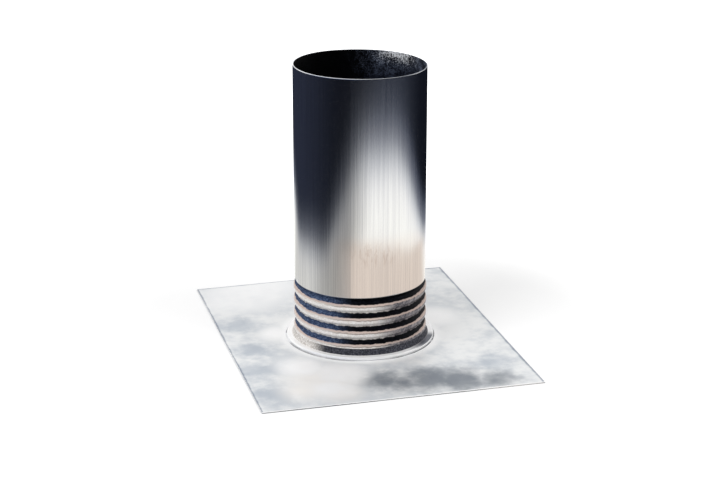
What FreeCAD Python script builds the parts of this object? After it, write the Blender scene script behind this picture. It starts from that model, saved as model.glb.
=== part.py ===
import FreeCAD, Part
import math
import os

import Sketcher

# Pipe flashing boot for a roof: a thin drawn sleeve with a corrugated, bendable neck,
# lock-seamed at its foot to a flat base plate.
# Millimetres. The origin is on the sleeve's axis at the underside of the base plate, +Z up the sleeve,
# X across the plate and Y along it.

SIZES = (
    ("tube_diameter", 119.0, "outside of the plain tube"),
    ("tube_top", 254.0, "underside of the plate to the cut top edge"),
    ("sleeve_gauge", 0.9, "sheet of the sleeve"),
    ("plate_width", 250.0, "base plate across"),
    ("plate_length", 305.0, "base plate along the roof's slope"),
    ("plate_gauge", 0.9, "sheet of the base plate"),
    ("crest_rise", 1.2, "ridges of the neck stand out of the tube by this"),
    ("groove_depth", 3.2, "from a ridge's crest to the bottom of a groove"),
    ("groove_pitch", 12.6, "crest to crest"),
    ("root_radius", 0.6, "outside radius at the bottom of a groove"),
    ("lip_inside", 0.6, "inside bend radius where the tube turns into the highest groove"),
    ("ridge_foot", 1.4, "straight below the lowest crest"),
    ("flare_height", 6.35, "flared foot, from its top down to the top of the seam"),
    ("flare_radius", 12.0, "sweep of the flared foot"),
    ("foot_bend", 0.8, "tight bend from the flare to the seam"),
    ("seam_flat", 3.2, "flat top of the lock seam"),
    ("hook_width", 2.9, "sleeve turned back under the plate's hem"),
    ("hem_width", 2.9, "plate folded back over the sleeve's hook"),
    ("seam_gap", 0.05, "clearance between the layers of the seam"),
)
RIDGE_COUNT = 4

# Sizes that several features share, each written once in terms of the sheet's cells.
TUBE_RADIUS = "sizes.tube_diameter / 2"
CREST_RADIUS = "sizes.tube_diameter / 2 + sizes.crest_rise"
LIP_RADIUS = "sizes.lip_inside + sizes.sleeve_gauge"
WAVE_RADIUS = "((sizes.groove_pitch / 2) ^ 2 + sizes.groove_depth ^ 2) / (2 * sizes.groove_depth)"
RIDGE_RADIUS = f"{WAVE_RADIUS} - sizes.root_radius"
SEAM_TOP = "2 * sizes.plate_gauge + 3 * sizes.seam_gap + 2 * sizes.sleeve_gauge"
FLARE_TOP = f"{SEAM_TOP} + sizes.flare_height"
LOWEST_CREST = f"{FLARE_TOP} + sizes.ridge_foot"
FLARE_SINE = "(sizes.flare_height - sizes.foot_bend) / (sizes.flare_radius - sizes.foot_bend)"
FLARE_RUN = f"sizes.flare_radius - (sizes.flare_radius - sizes.foot_bend) * sqrt(1 - ({FLARE_SINE}) ^ 2)"
SEAM_END_X = f"{CREST_RADIUS} + {FLARE_RUN} + sizes.seam_flat"
HOOK_FOLD = "sizes.plate_gauge / 2 + sizes.seam_gap + sizes.sleeve_gauge"
HOOK_END_X = f"{SEAM_END_X} - sizes.hook_width"
HEM_FOLD = "sizes.sleeve_gauge / 2 + sizes.seam_gap + sizes.plate_gauge"
HEM_FOLD_INSIDE = "sizes.sleeve_gauge / 2 + sizes.seam_gap"
HEM_FOLD_X = f"{SEAM_END_X} - sizes.hem_width"

DOWN = -math.pi / 2

doc = FreeCAD.newDocument("pipe_flashing_boot")


def fill_sheet():
    sheet = doc.addObject("Spreadsheet::Sheet", "sizes")
    for row, (alias, number, note) in enumerate(SIZES, start=1):
        sheet.set(f"A{row}", note)
        sheet.set(f"B{row}", str(number))
        sheet.setAlias(f"B{row}", alias)
    doc.recompute()
    return sheet


def value(expression):
    """The number that an expression of the sheet's cells comes to."""
    return float(sizes.evalExpression(expression))


def dimension(sketch, kind, where, expression):
    """A sketch dimension bound to the sheet."""
    index = sketch.addConstraint(Sketcher.Constraint(kind, *where, value(expression)))
    sketch.setExpression(f"Constraints[{index}]", expression)


class SheetLine:
    """The outer line of a formed sheet, drawn in a sketch as straights and bends.

    Each piece starts where the last one ended and is tangent to it."""

    def __init__(self, sketch, x, y, heading):
        self.sketch = sketch
        self.x = x
        self.y = y
        self.heading = heading
        self.end = None

    def join(self, piece, start, end):
        if self.end:
            self.sketch.addConstraint(Sketcher.Constraint("Tangent", *self.end, piece, start))
        self.end = (piece, end)
        return piece

    def straight(self, length):
        start = FreeCAD.Vector(self.x, self.y, 0)
        self.x += length * math.cos(self.heading)
        self.y += length * math.sin(self.heading)
        line = Part.LineSegment(start, FreeCAD.Vector(self.x, self.y, 0))
        return self.join(self.sketch.addGeometry(line, False), 1, 2)

    def bend(self, radius, turn):
        """Turns by an angle in radians: left when positive, right when negative."""
        side = math.copysign(1, turn)
        centre_x = self.x - side * radius * math.sin(self.heading)
        centre_y = self.y + side * radius * math.cos(self.heading)
        first = self.heading - side * math.pi / 2
        last = first + turn
        circle = Part.Circle(FreeCAD.Vector(centre_x, centre_y, 0), FreeCAD.Vector(0, 0, 1), radius)
        arc = Part.ArcOfCircle(circle, min(first, last), max(first, last))
        self.heading += turn
        self.x = centre_x + radius * math.cos(last)
        self.y = centre_y + radius * math.sin(last)
        ends = (1, 2) if turn > 0 else (2, 1)
        return self.join(self.sketch.addGeometry(arc, False), *ends)


def draw_neck(line, sketch):
    """The tube's wall, then the round ridges with tight grooves between them. Ends on the lowest crest."""
    lip_reach = value(f"{LIP_RADIUS} + sizes.root_radius")
    lip_turn = math.acos(1 - value("sizes.groove_depth - sizes.crest_rise") / lip_reach)
    ridge_turn = math.asin(value(f"sizes.groove_pitch / 2 / ({WAVE_RADIUS})"))
    highest_root = f"{LOWEST_CREST} + {RIDGE_COUNT - 0.5} * sizes.groove_pitch"

    wall = line.straight(value(f"sizes.tube_top - ({highest_root})") - lip_reach * math.sin(lip_turn))
    sketch.addConstraint(Sketcher.Constraint("Vertical", wall))
    dimension(sketch, "DistanceX", (wall, 1), TUBE_RADIUS)
    dimension(sketch, "DistanceY", (wall, 1), "sizes.tube_top")
    lip = line.bend(value(LIP_RADIUS), -lip_turn)
    dimension(sketch, "Radius", (lip,), LIP_RADIUS)
    root = line.bend(value("sizes.root_radius"), lip_turn + ridge_turn)
    dimension(sketch, "Radius", (root,), "sizes.root_radius")
    dimension(sketch, "DistanceY", (root, 3), highest_root)
    for above in reversed(range(RIDGE_COUNT)):
        ridge = line.bend(value(RIDGE_RADIUS), -2 * ridge_turn if above else -ridge_turn)
        dimension(sketch, "Radius", (ridge,), RIDGE_RADIUS)
        dimension(sketch, "DistanceX", (ridge, 3), f"{CREST_RADIUS} - ({RIDGE_RADIUS})")
        dimension(sketch, "DistanceY", (ridge, 3), f"{LOWEST_CREST} + {above} * sizes.groove_pitch")
        if above:
            root = line.bend(value("sizes.root_radius"), 2 * ridge_turn)
            dimension(sketch, "Radius", (root,), "sizes.root_radius")


def draw_foot(line, sketch):
    """The flared foot, and the hook that the seam closes round the plate's hem."""
    ridge_foot = line.straight(value("sizes.ridge_foot"))
    sketch.addConstraint(Sketcher.Constraint("Vertical", ridge_foot))
    slope = math.asin(value(FLARE_SINE))
    flare = line.bend(value("sizes.flare_radius"), slope)
    foot = line.bend(value("sizes.foot_bend"), math.pi / 2 - slope)
    seam = line.straight(value("sizes.seam_flat"))
    fold = line.bend(value(HOOK_FOLD), -math.pi)
    hook = line.straight(value("sizes.hook_width"))
    dimension(sketch, "Radius", (flare,), "sizes.flare_radius")
    dimension(sketch, "DistanceY", (flare, 3), FLARE_TOP)
    dimension(sketch, "Radius", (foot,), "sizes.foot_bend")
    sketch.addConstraint(Sketcher.Constraint("Horizontal", seam))
    dimension(sketch, "DistanceY", (seam, 1), SEAM_TOP)
    dimension(sketch, "Radius", (fold,), HOOK_FOLD)
    dimension(sketch, "DistanceX", (fold, 3), SEAM_END_X)
    sketch.addConstraint(Sketcher.Constraint("Horizontal", hook))
    dimension(sketch, "DistanceX", (hook, 2), HOOK_END_X)


def corrugated_sleeve():
    """The sleeve is one sheet: its outer line, thickened inwards by the gauge and turned round the axis."""
    sketch = doc.addObject("Sketcher::SketchObject", "sleeve_line")
    sketch.Placement.Rotation = FreeCAD.Rotation(FreeCAD.Vector(1, 0, 0), 90)
    line = SheetLine(sketch, value(TUBE_RADIUS), value("sizes.tube_top"), DOWN)
    draw_neck(line, sketch)
    draw_foot(line, sketch)
    doc.recompute()

    section = doc.addObject("Part::Offset2D", "sleeve_section")
    section.Source = sketch
    section.setExpression("Value", "-sizes.sleeve_gauge")
    section.Mode = "Skin"
    section.Fill = True

    sleeve = doc.addObject("Part::Revolution", "sleeve")
    sleeve.Source = section
    sleeve.Base = FreeCAD.Vector(0, 0, 0)
    sleeve.Axis = FreeCAD.Vector(0, 0, 1)
    sleeve.Angle = 360
    sleeve.Solid = True
    sleeve.Label = "corrugated_sleeve"
    sleeve.Placement = FreeCAD.Placement()
    doc.recompute()
    return sleeve


def origin_plane(body, role):
    return next(feature for feature in body.Origin.OriginFeatures if feature.Role == role)


def sketch_on(body, role, name):
    sketch = body.newObject("Sketcher::SketchObject", name)
    sketch.AttachmentSupport = (origin_plane(body, role), [""])
    sketch.MapMode = "FlatFace"
    return sketch


def draw_outline(sketch):
    """The rectangular sheet, centred on the sleeve, with the round opening that the hem folds up from."""
    half_width = value("sizes.plate_width / 2")
    half_length = value("sizes.plate_length / 2")
    corners = [
        FreeCAD.Vector(-half_width, -half_length, 0),
        FreeCAD.Vector(half_width, -half_length, 0),
        FreeCAD.Vector(half_width, half_length, 0),
        FreeCAD.Vector(-half_width, half_length, 0),
    ]
    for first, second in zip(corners, corners[1:] + corners[:1]):
        sketch.addGeometry(Part.LineSegment(first, second), False)
    for side in range(4):
        sketch.addConstraint(Sketcher.Constraint("Coincident", side, 2, (side + 1) % 4, 1))
        sketch.addConstraint(Sketcher.Constraint("Vertical" if side % 2 else "Horizontal", side))
    dimension(sketch, "DistanceX", (0, 2), "sizes.plate_width / 2")
    dimension(sketch, "DistanceX", (0, 1, 0, 2), "sizes.plate_width")
    dimension(sketch, "DistanceY", (1, 2), "sizes.plate_length / 2")
    dimension(sketch, "DistanceY", (1, 1, 1, 2), "sizes.plate_length")
    axis_z = FreeCAD.Vector(0, 0, 1)
    opening = sketch.addGeometry(Part.Circle(FreeCAD.Vector(), axis_z, value(HEM_FOLD_X)), False)
    sketch.addConstraint(Sketcher.Constraint("Coincident", opening, 3, -1, 1))
    dimension(sketch, "Radius", (opening,), HEM_FOLD_X)


def draw_hem(sketch):
    """Section of the plate's edge, folded up and back over the sleeve's hook."""
    middle = FreeCAD.Vector(value(HEM_FOLD_X), value(HEM_FOLD), 0)
    outside = value(HEM_FOLD)
    inside = value(HEM_FOLD_INSIDE)
    end_x = value(SEAM_END_X)
    axis_z = FreeCAD.Vector(0, 0, 1)

    def at(x, rise):
        return FreeCAD.Vector(x, middle.y + rise, 0)

    for radius in (outside, inside):
        circle = Part.Circle(middle, axis_z, radius)
        sketch.addGeometry(Part.ArcOfCircle(circle, math.pi / 2, 3 * math.pi / 2), False)
    outer_arc, inner_arc = 0, 1
    root = sketch.addGeometry(Part.LineSegment(at(middle.x, -outside), at(middle.x, -inside)), False)
    lower = sketch.addGeometry(Part.LineSegment(at(middle.x, inside), at(end_x, inside)), False)
    edge = sketch.addGeometry(Part.LineSegment(at(end_x, inside), at(end_x, outside)), False)
    upper = sketch.addGeometry(Part.LineSegment(at(end_x, outside), at(middle.x, outside)), False)

    sketch.addConstraint(Sketcher.Constraint("Coincident", outer_arc, 2, root, 1))
    sketch.addConstraint(Sketcher.Constraint("Coincident", root, 2, inner_arc, 2))
    sketch.addConstraint(Sketcher.Constraint("Tangent", inner_arc, 1, lower, 1))
    sketch.addConstraint(Sketcher.Constraint("Coincident", lower, 2, edge, 1))
    sketch.addConstraint(Sketcher.Constraint("Coincident", edge, 2, upper, 1))
    sketch.addConstraint(Sketcher.Constraint("Tangent", upper, 2, outer_arc, 1))
    sketch.addConstraint(Sketcher.Constraint("Coincident", outer_arc, 3, inner_arc, 3))
    sketch.addConstraint(Sketcher.Constraint("Vertical", outer_arc, 3, root, 1))
    sketch.addConstraint(Sketcher.Constraint("Vertical", root))
    sketch.addConstraint(Sketcher.Constraint("Horizontal", lower))
    sketch.addConstraint(Sketcher.Constraint("Vertical", edge))
    sketch.addConstraint(Sketcher.Constraint("Horizontal", upper))
    dimension(sketch, "DistanceX", (outer_arc, 3), HEM_FOLD_X)
    dimension(sketch, "DistanceY", (outer_arc, 3), HEM_FOLD)
    dimension(sketch, "Radius", (outer_arc,), HEM_FOLD)
    dimension(sketch, "Radius", (inner_arc,), HEM_FOLD_INSIDE)
    dimension(sketch, "DistanceX", (edge, 1), SEAM_END_X)


def base_plate():
    """Flat sheet with a round opening, its edge hemmed into the seam."""
    body = doc.addObject("PartDesign::Body", "plate")
    outline = sketch_on(body, "XY_Plane", "plate_outline")
    draw_outline(outline)
    sheet = body.newObject("PartDesign::Pad", "plate_sheet")
    sheet.Profile = outline
    sheet.setExpression("Length", "sizes.plate_gauge")
    doc.recompute()

    section = sketch_on(body, "XZ_Plane", "hem_section")
    draw_hem(section)
    doc.recompute()
    hem = body.newObject("PartDesign::Revolution", "plate_hem")
    hem.Profile = section
    hem.ReferenceAxis = (section, ["V_Axis"])
    hem.Angle = 360
    body.Tip = hem
    body.Label = "base_plate"
    body.Placement = FreeCAD.Placement()
    doc.recompute()
    return body


def check(objects):
    for item in objects:
        if "Invalid" in item.State or "Error" in item.State:
            raise RuntimeError(f"{item.Name} did not build: {item.State}")
        shape = getattr(item, "Shape", None)
        if shape is not None and not item.isDerivedFrom("App::OriginFeature"):
            if shape.isNull() or not shape.isValid():
                raise RuntimeError(f"{item.Name} has no valid shape")


sizes = fill_sheet()
sub_parts = [corrugated_sleeve(), base_plate()]
check(doc.Objects)
os.makedirs("parts", exist_ok=True)
for sub_part in sub_parts:
    sub_part.Shape.exportStep(f"parts/{sub_part.Label}.step")
    print(sub_part.Label, len(sub_part.Shape.Solids), "solid", round(sub_part.Shape.Volume), "mm3")
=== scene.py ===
import math

import bpy
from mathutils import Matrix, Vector

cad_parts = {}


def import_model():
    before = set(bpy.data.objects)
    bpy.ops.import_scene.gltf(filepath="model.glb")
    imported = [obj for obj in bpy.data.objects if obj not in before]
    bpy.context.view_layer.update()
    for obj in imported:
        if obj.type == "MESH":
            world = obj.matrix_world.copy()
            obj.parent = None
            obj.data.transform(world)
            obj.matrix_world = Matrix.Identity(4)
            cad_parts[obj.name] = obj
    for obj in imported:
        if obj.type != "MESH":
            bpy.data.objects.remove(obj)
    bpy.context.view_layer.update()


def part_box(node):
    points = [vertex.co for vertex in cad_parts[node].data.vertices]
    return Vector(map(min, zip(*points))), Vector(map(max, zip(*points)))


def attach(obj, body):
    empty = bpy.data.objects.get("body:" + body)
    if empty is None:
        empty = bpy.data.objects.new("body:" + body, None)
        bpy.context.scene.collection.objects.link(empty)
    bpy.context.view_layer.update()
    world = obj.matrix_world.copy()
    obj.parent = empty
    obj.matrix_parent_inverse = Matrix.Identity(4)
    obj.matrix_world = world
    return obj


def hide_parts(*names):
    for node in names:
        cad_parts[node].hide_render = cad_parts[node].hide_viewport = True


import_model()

# Looks of the pipe flashing boot: two thin aluminium pieces, each remade as one smooth sheet
# that follows its CAD solid, with the small unevenness of hand-handled soft metal.
# Metres, in the CAD frame: the origin is on the sleeve's axis at the underside of the plate.

_, SLEEVE_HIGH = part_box("corrugated_sleeve")
PLATE_LOW, PLATE_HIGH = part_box("base_plate")

MM = 0.001

# The sleeve's outer line.
TUBE_RADIUS = 59.5 * MM
TUBE_TOP = SLEEVE_HIGH.z
GAUGE = 0.9 * MM
CREST_RADIUS = TUBE_RADIUS + 1.2 * MM
GROOVE_DEPTH = 3.2 * MM
GROOVE_PITCH = 12.6 * MM
ROOT_RADIUS = 0.6 * MM
LIP_RADIUS = 1.5 * MM
RIDGE_COUNT = 4
RIDGE_FOOT = 1.4 * MM
FLARE_HEIGHT = 6.35 * MM
FLARE_RADIUS = 12.0 * MM
FOOT_BEND = 0.8 * MM
RIM_BEVEL = 0.2 * MM
EDGE_LOOP = 0.5 * MM

# The lock seam. The plate's hem and the sleeve's hook fold round each other at the same size.
SEAM_RADIUS = SLEEVE_HIGH.x
SEAM_GAP = 0.05 * MM
SEAM_FOLD = 1.5 * GAUGE + SEAM_GAP
SEAM_TOP = 4 * GAUGE + 3 * SEAM_GAP
SEAM_FOLD_X = SEAM_RADIUS - SEAM_FOLD
HOOK_WIDTH = 2.9 * MM
HEM_FOLD_X = SEAM_FOLD_X - HOOK_WIDTH

LOWEST_CREST = SEAM_TOP + FLARE_HEIGHT + RIDGE_FOOT
HIGHEST_ROOT = LOWEST_CREST + (RIDGE_COUNT - 0.5) * GROOVE_PITCH

PLATE_BEVEL = 0.15 * MM

# Points round the axis, and from the hem to the plate's edge.
AROUND = 320
LANES = 26

# Unevenness grows from nothing at the seam over this distance, so that the seam stays closed.
CALM_REACH = 30 * MM

# The hand-cut rim stands above its drawn height by the lift, give or take the sway, and is highest
# at this angle round the axis.
RIM_LIFT = 1.7 * MM
RIM_SWAY = 0.8 * MM
RIM_TILT = math.radians(-160)

# The camera, in degrees, metres and millimetres of lens.
CAMERA_AZIMUTH = -14.96
CAMERA_ELEVATION = 18.91
CAMERA_DISTANCE = 1.6698
CAMERA_LENS = 91.9
AIM_HEIGHT = 0.0917

# The floor glows white far from the part. Near it the glow falls to this share, so the shadow shows.
FLOOR_SIZE = 12.0
FLOOR_LIFT = 0.13
LIGHT_SIZE = 0.9
WHITE = (1.0, 1.0, 1.0)
BRIGHT = (0.98, 0.98, 0.98)


# ---------------------------------------------------------------- meshes

def limited(share):
    return max(0.0, min(1.0, share))


def linked_mesh(name, vertices, faces):
    mesh = bpy.data.meshes.new(name)
    mesh.from_pydata(vertices, [], faces)
    mesh.update()
    piece = bpy.data.objects.new(name, mesh)
    bpy.context.scene.collection.objects.link(piece)
    return piece


def ring_mesh(name, rings, slots):
    """A mesh from closed sections set side by side round the axis. slots gives each band's material."""
    count = len(rings[0])
    vertices = [point for ring in rings for point in ring]
    faces = []
    for index in range(len(rings)):
        here = index * count
        there = (index + 1) % len(rings) * count
        for step in range(count):
            after = (step + 1) % count
            faces.append((here + step, here + after, there + after, there + step))
    piece = linked_mesh(name, vertices, faces)
    mesh = piece.data
    mesh.polygons.foreach_set("material_index", slots * len(rings))
    mesh.polygons.foreach_set("use_smooth", [True] * len(faces))
    mesh.validate()
    mesh.update()
    return piece


class SheetLine:
    """The outer line of a formed sheet as points with their outward normals, on straights and bends."""

    def __init__(self, radius, height):
        self.radius = radius
        self.height = height
        self.heading = -math.pi / 2
        self.points = []

    def mark(self):
        outward = self.heading + math.pi / 2
        self.points.append((self.radius, self.height, math.cos(outward), math.sin(outward)))

    def straight(self, length, steps):
        for _ in range(steps):
            self.mark()
            self.radius += length / steps * math.cos(self.heading)
            self.height += length / steps * math.sin(self.heading)

    def bend(self, radius, turn, steps):
        for _ in range(steps):
            self.mark()
            chord = 2 * radius * math.sin(abs(turn) / steps / 2)
            self.heading += turn / steps / 2
            self.radius += chord * math.cos(self.heading)
            self.height += chord * math.sin(self.heading)
            self.heading += turn / steps / 2


def sleeve_line():
    """The tube's wall, the ridges and grooves of the neck, the flared foot and the hook."""
    lip_reach = LIP_RADIUS + ROOT_RADIUS
    lip_turn = math.acos(1 - (GROOVE_DEPTH - CREST_RADIUS + TUBE_RADIUS) / lip_reach)
    wave_radius = ((GROOVE_PITCH / 2) ** 2 + GROOVE_DEPTH ** 2) / (2 * GROOVE_DEPTH)
    ridge_radius = wave_radius - ROOT_RADIUS
    ridge_turn = math.asin(GROOVE_PITCH / 2 / wave_radius)
    wall = TUBE_TOP - RIM_BEVEL - HIGHEST_ROOT - lip_reach * math.sin(lip_turn)

    line = SheetLine(TUBE_RADIUS, TUBE_TOP - RIM_BEVEL)
    line.straight(EDGE_LOOP, 1)
    line.straight(wall - 2 * EDGE_LOOP, 40)
    line.straight(EDGE_LOOP, 1)
    line.bend(LIP_RADIUS, -lip_turn, 7)
    line.bend(ROOT_RADIUS, lip_turn + ridge_turn, 8)
    for above in reversed(range(RIDGE_COUNT)):
        line.bend(ridge_radius, -ridge_turn, 9)
        if above:
            line.bend(ridge_radius, -ridge_turn, 9)
            line.bend(ROOT_RADIUS, 2 * ridge_turn, 8)
    line.straight(RIDGE_FOOT, 2)
    slope = math.asin((FLARE_HEIGHT - FOOT_BEND) / (FLARE_RADIUS - FOOT_BEND))
    line.bend(FLARE_RADIUS, slope, 8)
    line.bend(FOOT_BEND, math.pi / 2 - slope, 6)
    line.straight(SEAM_FOLD_X - line.radius, 4)
    line.bend(SEAM_FOLD, -math.pi, 14)
    line.straight(HOOK_WIDTH, 3)
    line.mark()
    return line.points


def wave(angle, height, size):
    """A soft, closed unevenness round the axis that drifts slowly with height."""
    total = 0.50 * math.sin(2 * angle + 9 * height + 0.8)
    total += 0.30 * math.sin(3 * angle - 14 * height + 2.1)
    total += 0.20 * math.sin(5 * angle + 22 * height + 4.0)
    return size * total


def handled(angle, radius, height):
    """Where a point of the drawn section stands on the real, slightly uneven sleeve."""
    upper = limited((height - SEAM_TOP) / CALM_REACH)
    radius += wave(angle, height, 0.30 * MM) * upper
    height += wave(angle + 1.3, 0.0, 0.25 * MM) * upper
    tall = max(0.0, (height - HIGHEST_ROOT) / (TUBE_TOP - HIGHEST_ROOT))
    height += (RIM_LIFT + RIM_SWAY * math.cos(angle - RIM_TILT)) * tall
    return radius * math.cos(angle), radius * math.sin(angle), height


def sleeve_piece():
    line = sleeve_line()
    outside = [(r, z) for r, z, _, _ in line]
    inside = [(r - GAUGE * nr, z - GAUGE * nz) for r, z, nr, nz in reversed(line)]
    rim = [(TUBE_RADIUS - GAUGE + RIM_BEVEL, TUBE_TOP), (TUBE_RADIUS - RIM_BEVEL, TUBE_TOP)]
    section = outside + inside + rim
    slots = [0] * len(outside) + [1] * (len(inside) - 1) + [2] * 3
    rings = []
    for index in range(AROUND):
        angle = 2 * math.pi * index / AROUND
        rings.append([handled(angle, radius, height) for radius, height in section])
    return ring_mesh("sleeve_skin", rings, slots)


def plate_angles():
    """Even steps round the axis, with a step moved onto each corner of the plate."""
    angles = [2 * math.pi * index / AROUND for index in range(AROUND)]
    for x in (PLATE_LOW.x, PLATE_HIGH.x):
        for y in (PLATE_LOW.y, PLATE_HIGH.y):
            corner = math.atan2(y, x) % (2 * math.pi)
            nearest = min(range(AROUND), key=lambda index: abs(angles[index] - corner))
            angles[nearest] = corner
    return angles


def edge_reach(angle):
    """Distance from the axis to the plate's edge in this direction."""
    across = abs(math.cos(angle)) / PLATE_HIGH.x
    along = abs(math.sin(angle)) / PLATE_HIGH.y
    return 1 / max(across, along)


def ripple(x, y):
    """How far the soft sheet stands off the floor: it never dips below it."""
    total = math.sin(31 * x + 12 * y + 0.4) + math.sin(-17 * x + 38 * y + 1.9)
    total += math.sin(52 * x + 47 * y + 3.1)
    return 0.10 * MM * (total + 3)


def hem_bend(radius, start, turn, steps):
    """Points of the hem's bend, without its two ends."""
    angles = [start + turn * step / steps for step in range(1, steps)]
    return [(HEM_FOLD_X + radius * math.cos(angle), SEAM_FOLD + radius * math.sin(angle)) for angle in angles]


def plate_section(reach):
    """The plate and its hem as (radius, height), cut from the opening to the edge at this reach."""
    inner_edge = reach - PLATE_BEVEL
    spread = [HEM_FOLD_X + (inner_edge - HEM_FOLD_X) * (step / LANES) for step in range(LANES + 1)]
    section = [(radius, 0.0) for radius in reversed(spread)]
    section += hem_bend(SEAM_FOLD, -math.pi / 2, -math.pi, 12)
    hem_top = 2 * SEAM_FOLD
    hem_under = hem_top - GAUGE
    section += [(HEM_FOLD_X, hem_top), (SEAM_FOLD_X, hem_top)]
    section += [(SEAM_FOLD_X, hem_under), (HEM_FOLD_X, hem_under)]
    section += hem_bend(SEAM_FOLD - GAUGE, math.pi / 2, math.pi, 10)
    section += [(radius, GAUGE) for radius in spread]
    section += [(reach, GAUGE - PLATE_BEVEL), (reach, PLATE_BEVEL)]
    return section


def plate_piece():
    rings = []
    for angle in plate_angles():
        ring = []
        for radius, height in plate_section(edge_reach(angle)):
            x, y = radius * math.cos(angle), radius * math.sin(angle)
            loose = limited((radius - SEAM_RADIUS) / CALM_REACH)
            ring.append((x, y, height + ripple(x, y) * loose))
        rings.append(ring)
    return ring_mesh("plate_skin", rings, [0] * (len(rings[0]) - 3) + [1] * 3)


# ---------------------------------------------------------------- node trees

def srgb(red, green, blue):
    """Linear colour from the usual 0 to 255 values."""
    def one(value):
        value /= 255
        return value / 12.92 if value <= 0.04045 else ((value + 0.055) / 1.055) ** 2.4
    return (one(red), one(green), one(blue))


def camera_direction():
    azimuth = math.radians(CAMERA_AZIMUTH)
    return Vector((math.sin(azimuth), -math.cos(azimuth), 0.0))


class Nodes:
    """A short way to write a node tree: each call adds a node and joins what it is given."""

    def __init__(self, tree):
        self.tree = tree
        tree.nodes.clear()

    def add(self, kind, inputs=None, **settings):
        node = self.tree.nodes.new(kind)
        for name, setting in settings.items():
            setattr(node, name, setting)
        for name, what in (inputs or {}).items():
            socket = node.inputs[name]
            if isinstance(what, bpy.types.NodeSocket):
                self.tree.links.new(what, socket)
            elif socket.type == "RGBA":
                socket.default_value = (*what, 1.0)
            else:
                socket.default_value = what
        return node

    def maths(self, operation, first, second=0.0, third=0.0):
        return self.add("ShaderNodeMath", {0: first, 1: second, 2: third}, operation=operation).outputs[0]

    def plus(self, first, second):
        return self.maths("ADD", first, second)

    def times(self, first, second):
        return self.maths("MULTIPLY", first, second)

    def apart(self, mask):
        return self.maths("SUBTRACT", 1.0, mask)

    def most(self, *masks):
        total = masks[0]
        for mask in masks[1:]:
            total = self.maths("MAXIMUM", total, mask)
        return total

    def weigh(self, first, share, second):
        """The first value by its share and the second by what is left."""
        return self.plus(self.times(first, share), self.times(second, 1 - share))

    def fit(self, what, low, high, out_low=0.0, out_high=1.0, smooth=True):
        kind = "SMOOTHSTEP" if smooth else "LINEAR"
        inputs = {"Value": what, "From Min": low, "From Max": high, "To Min": out_low, "To Max": out_high}
        return self.add("ShaderNodeMapRange", inputs, interpolation_type=kind).outputs["Result"]

    def window(self, what, rise_from, rise_to, fall_from, fall_to):
        """1 between a smooth rise and a smooth fall, 0 outside them."""
        return self.times(self.fit(what, rise_from, rise_to), self.apart(self.fit(what, fall_from, fall_to)))

    def sway(self, noise, reach):
        """A noise turned into a shift of up to reach either way."""
        return self.fit(noise, 0.3, 0.7, -reach, reach, smooth=False)

    def noise(self, vector, scale, detail, roughness):
        inputs = {"Vector": vector, "Scale": scale, "Detail": detail, "Roughness": roughness}
        return self.add("ShaderNodeTexNoise", inputs).outputs["Fac"]

    def mix(self, share, first, second):
        return self.add("ShaderNodeMix", {0: share, 6: first, 7: second}, data_type="RGBA").outputs[2]

    def bump(self, height, strength, distance):
        inputs = {"Height": height, "Strength": strength, "Distance": distance}
        return self.add("ShaderNodeBump", inputs).outputs[0]

    def principled(self, inputs):
        self.output(self.add("ShaderNodeBsdfPrincipled", inputs))

    def output(self, shader, kind="ShaderNodeOutputMaterial"):
        self.add(kind, {"Surface": shader.outputs[0]})


class Place:
    """Where a point lies: its axes, and how far it is towards the front of the part and to its right."""

    def __init__(self, nodes, coordinate="Object"):
        self.nodes = nodes
        self.whole = nodes.add("ShaderNodeTexCoord").outputs[coordinate]
        self.x, self.y, self.height = nodes.add("ShaderNodeSeparateXYZ", {0: self.whole}).outputs
        front = camera_direction()
        self.towards = nodes.plus(nodes.times(self.x, front.x), nodes.times(self.y, front.y))
        self.rightwards = nodes.plus(nodes.times(self.x, -front.y), nodes.times(self.y, front.x))

    def bearing(self):
        """Angle round the axis: 0 at the front, positive to the right."""
        return self.nodes.maths("ARCTAN2", self.rightwards, self.towards)

    def flat(self):
        return self.nodes.add("ShaderNodeCombineXYZ", {0: self.x, 1: self.y, 2: 0.0}).outputs[0]

    def away(self):
        """Distance from the axis."""
        return self.nodes.add("ShaderNodeVectorMath", {0: self.flat()}, operation="LENGTH").outputs["Value"]

    def stretched(self, across, along):
        """A coordinate that stretches texture up the sleeve: fine round the axis, slow in height."""
        nodes = self.nodes
        angle = nodes.maths("ARCTAN2", self.y, self.x)
        turn_x = nodes.times(nodes.maths("COSINE", angle), across)
        turn_y = nodes.times(nodes.maths("SINE", angle), across)
        rise = nodes.times(self.height, along)
        return nodes.add("ShaderNodeCombineXYZ", {0: turn_x, 1: turn_y, 2: rise}).outputs[0]


def new_material(name):
    material = bpy.data.materials.new(name)
    material.use_nodes = True
    nodes = Nodes(material.node_tree)
    return material, nodes, Place(nodes)


# ---------------------------------------------------------------- the sleeve's materials

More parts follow.
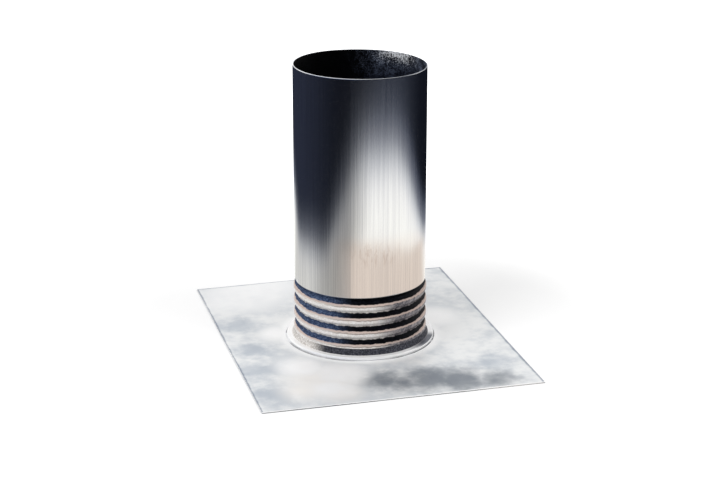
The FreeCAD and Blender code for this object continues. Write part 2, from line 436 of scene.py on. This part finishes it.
def tube_tone(nodes, place, fine):
    """The tube's bright metal: drawn lines, a warm lower part, one long darker band that is painted reflection, and a
    little rust.
    """
    right = place.rightwards
    streak = nodes.noise(place.stretched(115.0, 7.0), 1.0, 2.0, 0.5)
    lines = nodes.weigh(fine, 0.55, streak)
    tone = nodes.mix(nodes.fit(lines, 0.36, 0.64), (0.77, 0.77, 0.785), (0.94, 0.935, 0.93))
    low = nodes.apart(nodes.fit(place.height, 104 * MM, 118 * MM))
    warm = nodes.times(low, nodes.fit(right, -44 * MM, -12 * MM))
    tone = nodes.mix(nodes.times(warm, 0.25), tone, (0.86, 0.76, 0.69))
    # Painted reflection: a long darker band up the tube, left of where a reflected edge falls.
    mark = nodes.window(right, -34 * MM, -12 * MM, -8.4 * MM, -7.6 * MM)
    tone = nodes.mix(nodes.times(mark, 0.28), tone, (0.30, 0.30, 0.33))
    rust = nodes.times(nodes.window(place.height, 82 * MM, 94 * MM, 100 * MM, 112 * MM),
                       nodes.window(right, -16 * MM, 4 * MM, 24 * MM, 42 * MM))
    mottle = nodes.noise(place.stretched(22.0, 80.0), 1.0, 4.0, 0.65)
    rust = nodes.times(rust, nodes.fit(mottle, 0.48, 0.66))
    return nodes.mix(nodes.times(rust, 0.33), tone, (0.50, 0.39, 0.33))


def ridge_tone(nodes, place, turn, grain, smear):
    """The neck's ridges: pale and warm as a painted reflection, grey towards the right as painted shade, with a brown
    crest and a pink line above it, both painted reflections.
    """
    right = place.rightwards
    profile = nodes.maths("FRACT", nodes.plus(turn, 0.25))
    # Painted reflection: the ridges' pale warm white stands in for the bright plate reflected in them.
    tone = nodes.mix(nodes.fit(grain, 0.35, 0.65), srgb(236, 229, 222), srgb(255, 253, 250))
    # Painted reflection: a brown line along the crest, stronger to the right.
    crest_reflection = nodes.window(profile, 0.16, 0.21, 0.27, 0.31)
    crest_reflection = nodes.times(crest_reflection, nodes.fit(right, -40 * MM, -12 * MM, 0.25, 0.9))
    tone = nodes.mix(crest_reflection, tone, srgb(158, 145, 138))
    # Painted shade: the ridges turn a mottled grey towards the right.
    shade_mottle = nodes.weigh(grain, 0.4, smear)
    right_shade_tone = nodes.mix(nodes.fit(shade_mottle, 0.40, 0.60), srgb(92, 89, 94), srgb(150, 144, 145))
    tone = nodes.mix(nodes.fit(right, 10 * MM, 34 * MM), tone, right_shade_tone)
    # Painted reflection: a pink line above the crest.
    pink_reflection = nodes.window(profile, 0.27, 0.31, 0.55, 0.61)
    pink_reflection_tone = nodes.mix(nodes.fit(right, 12 * MM, 40 * MM), srgb(222, 202, 192), srgb(186, 168, 160))
    return nodes.mix(pink_reflection, tone, pink_reflection_tone)


def valley_mask(nodes, place, turn, in_neck):
    """The grooves, painted dark as reflection and shade. Towards the sides of the part the painted dark starts a
    little higher.
    """
    phase = nodes.maths("FRACT", turn)
    towards_end = nodes.fit(nodes.maths("ABSOLUTE", place.rightwards), 46 * MM, 59 * MM, 0.0, 0.12)
    lower = nodes.maths("SUBTRACT", phase, towards_end)
    top = nodes.fit(turn, RIDGE_COUNT - 0.72, RIDGE_COUNT - 0.68)
    valley_end = nodes.most(top, nodes.apart(nodes.fit(phase, 0.45, 0.52)))
    valley = nodes.times(nodes.fit(lower, 0.13, 0.19), valley_end)
    return nodes.times(nodes.times(valley, in_neck), nodes.fit(turn, 0.0, 0.05))


def valley_tone(nodes, place, grain):
    # Painted reflection and shade: navy in the grooves to the left, black to the right.
    navy = nodes.mix(nodes.fit(grain, 0.42, 0.66), srgb(36, 50, 78), srgb(84, 100, 128))
    black = nodes.mix(nodes.fit(grain, 0.45, 0.68), srgb(3, 4, 8), srgb(16, 18, 26))
    return nodes.mix(nodes.fit(place.rightwards, -34 * MM, -4 * MM), navy, black)


def skirt_tone(nodes, place, grain):
    # Painted reflection and shade on the flared foot: beige on the left, charcoal from there to the right.
    charcoal = nodes.mix(nodes.fit(grain, 0.40, 0.66), srgb(42, 44, 50), srgb(80, 80, 88))
    beige = nodes.mix(nodes.fit(grain, 0.38, 0.66), srgb(190, 184, 178), srgb(240, 236, 232))
    return nodes.mix(nodes.fit(place.rightwards, -46 * MM, -30 * MM), beige, charcoal)


def seam_tone(nodes, place):
    """The seam's ring: painted near-white as a highlight, with painted shade on top along its right side."""
    # Painted shade on top of the ring's right side; elsewhere the ring is painted near-white as a highlight.
    shaded = nodes.window(place.bearing(), 0.70, 1.10, 1.36, 1.56)
    shaded = nodes.times(shaded, nodes.fit(place.height, SEAM_TOP - 0.9 * MM, SEAM_TOP - 0.3 * MM))
    return nodes.mix(nodes.times(shaded, 0.92), BRIGHT, srgb(62, 66, 80))


def drawn_aluminium():
    """Bright drawn metal; the neck's valleys and the skirt are painted dark as reflection and shade, and the seam is
    painted near-white as a highlight.
    """
    material, nodes, place = new_material("drawn_aluminium_outside")
    height = place.height
    fine = nodes.noise(place.stretched(42.0, 9.0), 1.0, 4.0, 0.6)
    grain = nodes.noise(place.whole, 700.0, 3.0, 0.6)
    smear = nodes.noise(place.stretched(14.0, 160.0), 1.0, 3.0, 0.6)

    # Height in the neck as a count of ridges from the lowest crest.
    turn = nodes.maths("DIVIDE", nodes.maths("SUBTRACT", height, LOWEST_CREST), GROOVE_PITCH)
    turn = nodes.plus(turn, nodes.fit(smear, 0.25, 0.75, -0.045, 0.045, smooth=False))
    in_neck = nodes.apart(nodes.fit(height, HIGHEST_ROOT + 1.5 * MM, HIGHEST_ROOT + 2.3 * MM))
    valley = valley_mask(nodes, place, turn, in_neck)
    skirt = nodes.window(height, SEAM_TOP + 0.10 * MM, SEAM_TOP + 0.35 * MM,
                         LOWEST_CREST - 2.1 * MM, LOWEST_CREST - 1.3 * MM)
    seam = nodes.apart(nodes.fit(height, SEAM_TOP + 0.02 * MM, SEAM_TOP + 0.12 * MM))

    colour = nodes.mix(in_neck, tube_tone(nodes, place, fine), ridge_tone(nodes, place, turn, grain, smear))
    # Painted reflection and shade: the dark grooves and the dark flared foot.
    colour = nodes.mix(valley, colour, valley_tone(nodes, place, grain))
    colour = nodes.mix(skirt, colour, skirt_tone(nodes, place, grain))
    colour = nodes.mix(seam, colour, seam_tone(nodes, place))

    # Where dark reflection and shade are painted in, the metal is made duller and rougher.
    painted_dark = nodes.most(valley, skirt)
    metallic = nodes.fit(in_neck, 0.0, 1.0, 1.0, 0.35, smooth=False)
    metallic = nodes.times(metallic, nodes.apart(nodes.times(painted_dark, 0.9)))
    roughness = nodes.plus(nodes.fit(in_neck, 0.0, 1.0, 0.13, 0.25), nodes.times(painted_dark, 0.30))
    strength = nodes.fit(in_neck, 0.0, 1.0, 0.18, 0.0)
    nodes.principled({
        "Base Color": colour, "Metallic": metallic, "Roughness": roughness,
        "Normal": nodes.bump(fine, strength, 0.4 * MM), "Specular IOR Level": 0.12})
    return material


def dull_aluminium():
    """The inside, grainy, painted black as shade on the left and navy to the right, lighter near the rim as painted
    light, with one pale patch under the rim that is a painted pool of light.
    """
    material, nodes, place = new_material("dull_aluminium_inside")
    right, height = place.rightwards, place.height
    grain = nodes.noise(place.whole, 900.0, 3.0, 0.65)
    cloud = nodes.noise(place.whole, 70.0, 4.0, 0.6)
    mottle = nodes.weigh(grain, 0.6, cloud)
    # Painted light: the inside turns lighter grey towards the rim.
    near_rim_light = nodes.fit(height, TUBE_TOP - 30 * MM, TUBE_TOP - 2 * MM)
    grey = nodes.mix(near_rim_light, srgb(48, 56, 76), srgb(104, 114, 134))
    navy = nodes.mix(nodes.fit(mottle, 0.44, 0.62), srgb(13, 16, 27), grey)
    black = nodes.mix(nodes.fit(mottle, 0.46, 0.70), srgb(2, 2, 3), srgb(8, 9, 13))
    ragged = nodes.plus(right, nodes.sway(mottle, 12 * MM))
    # Painted shade: black on the left, navy to the right.
    colour = nodes.mix(nodes.fit(ragged, -6 * MM, 24 * MM), black, navy)
    # Painted light: a pale speckled pool of light on the inside under the rim.
    light_patch = nodes.times(nodes.window(right, 2 * MM, 30 * MM, 42 * MM, 58 * MM),
                        nodes.fit(height, TUBE_TOP - 16 * MM, TUBE_TOP - 1 * MM))
    speckle = nodes.fit(nodes.plus(mottle, nodes.times(light_patch, 0.13)), 0.56, 0.68)
    colour = nodes.mix(nodes.times(speckle, light_patch), colour, (0.88, 0.90, 0.93))
    nodes.principled({
        "Base Color": colour, "Metallic": 0.25, "Roughness": nodes.fit(cloud, 0.3, 0.7, 0.5, 0.65),
        "Normal": nodes.bump(grain, 0.4, 0.3 * MM), "Specular IOR Level": 0.2})
    return material


def cut_edge():
    """The raw sheared rim of the tube, with painted shade that darkens it towards the right."""
    material, nodes, place = new_material("cut_edge")
    burr = nodes.noise(place.whole, 500.0, 3.0, 0.6)
    colour = nodes.mix(nodes.fit(burr, 0.35, 0.65), (0.74, 0.77, 0.82), (0.96, 0.96, 0.96))
    # Painted shade: the rim darkens towards the right.
    colour = nodes.mix(nodes.fit(place.rightwards, -30 * MM, 45 * MM), colour, (0.26, 0.28, 0.32))
    nodes.principled({
        "Base Color": colour, "Metallic": 0.3, "Roughness": nodes.fit(burr, 0.3, 0.7, 0.4, 0.6)})
    return material


# ---------------------------------------------------------------- the plate's materials

# Soft patches on the plate, in millimetres: x, y, the radius of full tone and the radius where it ends. They are
# partly the sheet's cloudy finish and partly painted reflections; the glare spots are painted highlights.
PALE_SPOTS = ((-84, 122, 20, 62), (-60, 140, 10, 50))
DARK_SPOTS = ((-8, -112, 0, 30), (8, -122, 0, 30), (30, -122, 8, 38), (56, -131, 8, 38), (84, -138, 0, 34))
COOL_SPOTS = ((-104, 45, 4, 32), (-106, -18, 0, 24), (-114, -66, 2, 28), (96, -95, 2, 28), (-112, -118, 0, 30))
WARM_SPOTS = ((-62, -100, 10, 46), (-80, -116, 4, 30), (-52, -128, 2, 28))
GLARE_SPOTS = ((-74, 18, 6, 24), (-70, -66, 6, 28), (-42, -86, 6, 34), (78, 20, 8, 34), (-58, -118, 2, 26))


def spots_mask(nodes, place, cloud, fleck, spots):
    """Patches with ragged edges."""
    flat = place.flat()
    masks = []
    for x, y, inner, outer in spots:
        centre = (x * MM, y * MM, 0.0)
        gap = nodes.add("ShaderNodeVectorMath", {0: flat, 1: centre}, operation="DISTANCE").outputs["Value"]
        gap = nodes.plus(nodes.plus(gap, nodes.sway(cloud, 6 * MM)), nodes.sway(fleck, 4 * MM))
        masks.append(nodes.apart(nodes.fit(gap, inner * MM, outer * MM)))
    return nodes.most(*masks)


def seam_contact_shadow(nodes, place, cloud, fleck):
    """A broken line of painted shadow in the corner between the seam and the sheet."""
    line = nodes.window(place.away(), SEAM_RADIUS - 0.6 * MM, SEAM_RADIUS,
                        SEAM_RADIUS + 0.7 * MM, SEAM_RADIUS + 1.4 * MM)
    bearing = place.bearing()
    right = nodes.window(bearing, 0.15, 0.6, 1.6, 2.1)
    left = nodes.times(nodes.window(bearing, -1.28, -1.15, -0.35, 0.1), 0.7)
    far_left = nodes.window(bearing, -2.00, -1.90, -1.62, -1.54)
    along = nodes.most(right, left, far_left, nodes.fit(cloud, 0.5, 0.7, 0.0, 0.3))
    return nodes.times(nodes.times(line, along), nodes.fit(fleck, 0.30, 0.50, 0.4, 1.0))


def edge_wear(nodes, place, fleck):
    """The rubbed margin: none along the front edge, and wider to the right."""
    inset_x = nodes.maths("SUBTRACT", PLATE_HIGH.x, nodes.maths("ABSOLUTE", place.x))
    inset_y = nodes.maths("SUBTRACT", PLATE_HIGH.y, nodes.maths("ABSOLUTE", place.y))
    inset_y = nodes.plus(inset_y, nodes.fit(place.y, -100 * MM, 0.0, 10 * MM, 0.0))
    inset = nodes.plus(nodes.maths("MINIMUM", inset_x, inset_y), nodes.sway(fleck, 0.5 * MM))
    inset = nodes.times(inset, nodes.fit(place.x, 0.0, 100 * MM, 1.0, 0.6))
    return nodes.apart(nodes.fit(inset, 0.5 * MM, 1.8 * MM))


def sheet_aluminium():
    """Mill-finish sheet: cloudy, with a painted highlight round the seam, painted glare spots and a few darker
    patches that are partly painted reflection.
    """
    material, nodes, place = new_material("sheet_aluminium")
    cloud = nodes.noise(place.whole, 16.0, 4.0, 0.55)
    fleck = nodes.noise(place.whole, 75.0, 4.0, 0.6)
    grain = nodes.noise(place.whole, 420.0, 3.0, 0.6)
    mottle = nodes.weigh(cloud, 0.6, fleck)
    colour = nodes.mix(nodes.fit(mottle, 0.36, 0.60), srgb(214, 218, 222), srgb(238, 239, 239))
    # Partly cloudy finish, partly painted reflection: pale, darker, cool and warm patches.
    for spots, share, tone in (
        (PALE_SPOTS, 0.80, (0.96, 0.96, 0.96)),
        (DARK_SPOTS, 0.90, srgb(120, 127, 136)),
        (COOL_SPOTS, 0.70, srgb(176, 185, 196)),
        (WARM_SPOTS, 0.70, srgb(250, 246, 241)),
    ):
        colour = nodes.mix(nodes.times(spots_mask(nodes, place, cloud, fleck, spots), share), colour, tone)
    glare = spots_mask(nodes, place, cloud, fleck, GLARE_SPOTS)
    # Painted highlight: glare spots, and a bright band round the seam.
    ring = nodes.apart(nodes.fit(place.away(), SEAM_RADIUS + 1.5 * MM, SEAM_RADIUS + 12 * MM))
    colour = nodes.mix(nodes.most(glare, ring), colour, BRIGHT)
    # Painted shadow: a dark line where the seam meets the sheet.
    colour = nodes.mix(nodes.times(seam_contact_shadow(nodes, place, cloud, fleck), 0.85), colour, srgb(50, 54, 66))
    colour = nodes.mix(nodes.times(edge_wear(nodes, place, fleck), 0.75), colour, srgb(112, 124, 146))
    # Painted highlight: a bright line along the plate's front edge.
    front_edge_highlight = nodes.fit(place.y, PLATE_LOW.y + 1.3 * MM, PLATE_LOW.y + 0.9 * MM)
    colour = nodes.mix(front_edge_highlight, colour, BRIGHT)
    nodes.principled({
        "Base Color": colour, "Metallic": 0.35, "Roughness": nodes.fit(mottle, 0.38, 0.60, 0.55, 0.42),
        "Normal": nodes.bump(grain, 0.2, 0.2 * MM)})
    return material


def sheared_side():
    """The plate's sheared sides: a painted highlight along the top, and painted contact shadow along the bottom."""
    material, nodes, place = new_material("sheared_side")
    burr = nodes.noise(place.whole, 260.0, 3.0, 0.6)
    rise = nodes.maths("SUBTRACT", place.height, nodes.fit(burr, 0.3, 0.7, 0.0, 0.12 * MM))
    # Painted contact shadow low on the side, painted highlight above it.
    colour = nodes.mix(nodes.fit(rise, 0.74 * MM, 0.86 * MM), srgb(58, 63, 78), BRIGHT)
    nodes.principled({"Base Color": colour, "Metallic": 0.3, "Roughness": 0.45})
    return material


# ---------------------------------------------------------------- studio

def studio_camera():
    elevation = math.radians(CAMERA_ELEVATION)
    aim = Vector((0.0, 0.0, AIM_HEIGHT))
    away = camera_direction() * math.cos(elevation) + Vector((0, 0, math.sin(elevation)))
    data = bpy.data.cameras.new("camera")
    data.lens = CAMERA_LENS
    data.sensor_width = 36.0
    data.clip_end = 50.0
    camera = bpy.data.objects.new("camera", data)
    camera.location = aim + away * CAMERA_DISTANCE
    camera.rotation_euler = (-away).to_track_quat("-Z", "Y").to_euler()
    bpy.context.scene.collection.objects.link(camera)
    bpy.context.scene.camera = camera


def floor():
    """White paper that keeps the part's shadow close to it and glows white further off."""
    corners = [(x * FLOOR_SIZE, y * FLOOR_SIZE, 0) for x, y in ((-1, -1), (1, -1), (1, 1), (-1, 1))]
    piece = linked_mesh("floor", corners, [(0, 1, 2, 3)])
    material, nodes, place = new_material("floor_paper")
    seen = nodes.add("ShaderNodeLightPath").outputs["Is Camera Ray"]
    paper = nodes.add("ShaderNodeBsdfDiffuse", {"Color": (0.85, 0.85, 0.85)})
    lift = nodes.times(seen, nodes.fit(place.away(), 0.20, 0.50, FLOOR_LIFT, 1.0))
    glow = nodes.add("ShaderNodeEmission", {"Color": WHITE, "Strength": lift})
    nodes.output(nodes.add("ShaderNodeAddShader", {0: paper.outputs[0], 1: glow.outputs[0]}))
    piece.data.materials.append(material)


def flat_ring(name, inner, outer, height, steps=96):
    vertices = []
    for index in range(steps):
        angle = 2 * math.pi * index / steps
        for radius in (inner, outer):
            vertices.append((radius * math.cos(angle), radius * math.sin(angle), height))
    faces = []
    for index in range(steps):
        here, there = 2 * index, 2 * ((index + 1) % steps)
        faces.append((here, here + 1, there + 1, there))
    return linked_mesh(name, vertices, faces)


def card_reach(nodes, place):
    """How far out on the card a place is. The pale middle fades near 1 and spreads furthest to the front right."""
    bearing = place.bearing()
    lobe = nodes.window(bearing, -1.15, 0.10, 0.95, 2.5)
    lobe = nodes.most(lobe, nodes.fit(bearing, -2.1, -2.7, 0.0, 0.42))
    return nodes.maths("DIVIDE", place.away(), nodes.fit(lobe, 0.0, 1.0, 0.354, 0.735, smooth=False))


def card_middle(nodes, place, reach):
    """The card's pale middle: it fades outwards, is warm from the front round to the right and darker to the left."""
    ramp = nodes.add("ShaderNodeValToRGB", {"Fac": nodes.fit(reach, 0.0, 2.0, smooth=False)})
    stops = (
        (0.30, srgb(228, 228, 224)),
        (0.38, srgb(223, 223, 222)),
        (0.44, srgb(188, 191, 195)),
        (0.515, srgb(100, 104, 115)),
        (0.62, srgb(52, 57, 70)),
        (0.74, srgb(28, 32, 44)),
    )
    elements = ramp.color_ramp.elements
    while len(elements) < len(stops):
        elements.new(0.5)
    for element, (position, colour) in zip(elements, stops):
        element.position = position
        element.color = (*colour, 1)

    away, bearing = place.away(), place.bearing()
    warm_end = nodes.maths("SUBTRACT", away, nodes.fit(bearing, -0.2, 1.5, 0.033, -0.030, smooth=False))
    warm = nodes.apart(nodes.fit(warm_end, 0.332, 0.366))
    warm = nodes.times(warm, nodes.window(bearing, -0.9, -0.1, 2.0, 2.7))
    tone = nodes.mix(warm, ramp.outputs["Color"], srgb(196, 186, 177))

    drift = nodes.plus(nodes.fit(away, 0.33, 0.42, 0.0, 0.42), nodes.fit(away, 0.72, 0.95, 0.0, 0.30))
    flank = nodes.fit(nodes.maths("SUBTRACT", bearing, drift), -0.75, 0.0)
    left = nodes.fit(bearing, -1.50, -0.95, 0.63, 0.40)
    level = nodes.maths("MULTIPLY_ADD", left, nodes.apart(flank), flank)
    level = nodes.most(level, nodes.fit(bearing, -2.1, -2.7))
    return nodes.mix(level, (0.0, 0.0, 0.0), tone)


def card_outskirts(nodes, place):
    """The dark rest of the card: darkest left of the front, a little lighter out to the right."""
    bearing = place.bearing()
    tone = nodes.mix(nodes.fit(bearing, -2.2, -0.4), srgb(33, 37, 50), srgb(12, 15, 23))
    return nodes.mix(nodes.window(bearing, -0.2, 0.9, 1.0, 2.2), tone, srgb(36, 40, 50))


def surround_card():
    """A glowing card on the floor that only the metal's reflections show: pale near the part, dark far off."""
    card = flat_ring("surround_card", 0.12, 9.0, 0.4 * MM)
    material, nodes, place = new_material("surround_card")
    reach = card_reach(nodes, place)
    middle = card_middle(nodes, place, reach)
    shown = nodes.mix(nodes.fit(reach, 1.15, 1.5), middle, card_outskirts(nodes, place))
    nodes.output(nodes.add("ShaderNodeEmission", {"Color": shown, "Strength": 1.4}))
    card.data.materials.append(material)
    for kind in ("camera", "diffuse", "transmission", "volume_scatter", "shadow"):
        setattr(card, f"visible_{kind}", False)


def world():
    """White to the camera, soft grey to lit surfaces, and dark in front of the part to reflections."""
    scene_world = bpy.data.worlds.new("studio")
    bpy.context.scene.world = scene_world
    scene_world.use_nodes = True
    nodes = Nodes(scene_world.node_tree)
    place = Place(nodes, "Generated")
    behind = nodes.fit(place.towards, 0.05, -0.35)
    dark = nodes.mix(nodes.fit(place.rightwards, -0.5, 0.35), srgb(70, 92, 132), srgb(14, 16, 22))
    reflected = nodes.mix(behind, dark, (0.95, 0.95, 0.95))
    path = nodes.add("ShaderNodeLightPath").outputs
    lit = nodes.mix(path["Is Glossy Ray"], (0.75, 0.75, 0.75), reflected)
    shown = nodes.mix(path["Is Camera Ray"], lit, WHITE)
    back = nodes.add("ShaderNodeBackground", {"Color": shown, "Strength": 1.0})
    nodes.output(back, "ShaderNodeOutputWorld")


def soft_light(name, place, power):
    """A round light aimed at the part, unseen by reflections."""
    data = bpy.data.lights.new(name, "AREA")
    data.shape = "DISK"
    data.size = LIGHT_SIZE
    data.energy = power
    lamp = bpy.data.objects.new(name, data)
    lamp.location = place
    lamp.rotation_euler = (Vector((0, 0, 0.08)) - Vector(place)).to_track_quat("-Z", "Y").to_euler()
    lamp.visible_glossy = False
    bpy.context.scene.collection.objects.link(lamp)


# ---------------------------------------------------------------- the part

sleeve = sleeve_piece()
for material in (drawn_aluminium(), dull_aluminium(), cut_edge()):
    sleeve.data.materials.append(material)
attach(sleeve, "root")
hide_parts("corrugated_sleeve")

plate = plate_piece()
for material in (sheet_aluminium(), sheared_side()):
    plate.data.materials.append(material)
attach(plate, "root")
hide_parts("base_plate")

floor()
surround_card()
world()
soft_light("key", (-0.9, -0.5, 1.3), 10.0)
soft_light("fill", (1.1, -0.9, 0.9), 7.0)
studio_camera()
bpy.context.scene.view_settings.view_transform = "Standard"
